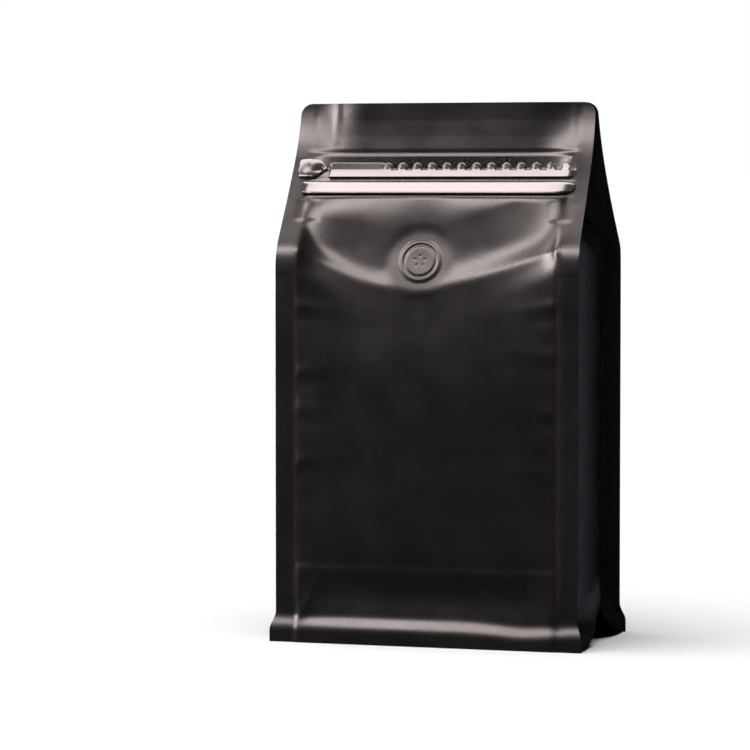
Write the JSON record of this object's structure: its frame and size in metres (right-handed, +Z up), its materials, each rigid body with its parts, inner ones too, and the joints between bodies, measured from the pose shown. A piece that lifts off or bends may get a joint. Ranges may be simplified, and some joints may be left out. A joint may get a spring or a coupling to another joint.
{
  "type": "stand-up pouch",
  "caption": "Tall flat-bottom pouch with folded side gussets, a reclosable strip with pull tab across the top of its front, and a round valve.",
  "frame": {"origin": "middle of the footprint, on the surface that the pouch stands on", "axes": "+Z up, X along the width with +X on the viewer's right, front with the strip and valve at -Y"},
  "size_m": [0.14, 0.08, 0.2345],
  "materials": {
    "pouch_film": "satin black laminated film",
    "closing_ridge": "glossy film stretched over a bead",
    "tear_strip": "embossed film",
    "pull_tab": "glossy film",
    "valve": "film over a moulded disc"
  },
  "bodies": {
    "root": {"pouch": "pouch_film", "zipper_track": "closing_ridge", "tear_strip": "tear_strip", "pull_tab": "pull_tab", "valve": "valve"}
  },
  "joints": []
}
